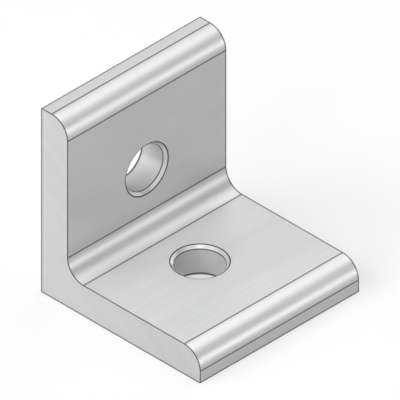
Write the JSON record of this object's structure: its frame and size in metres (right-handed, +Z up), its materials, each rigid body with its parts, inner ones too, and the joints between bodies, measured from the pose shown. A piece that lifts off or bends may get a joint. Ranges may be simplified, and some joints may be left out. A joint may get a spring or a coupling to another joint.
{
  "type": "t slot corner bracket",
  "caption": "Inside corner bracket of extruded aluminium L section, with rounded toes and a chamfered bolt hole in each leg, for joining slotted framing at a right angle.",
  "frame": {"origin": "middle of the underside of the base leg, which is also where the axis of the base leg's hole meets the underside", "axes": "+X along the base leg from the heel to the toe, +Y along the direction of extrusion, +Z up along the upright leg"},
  "size_m": [0.03, 0.03, 0.03],
  "materials": {
    "anodised_aluminium": "clear anodised satin, fine extrusion lines along the skin, sawn end faces"
  },
  "bodies": {
    "root": {"bracket": "anodised_aluminium"}
  },
  "joints": []
}
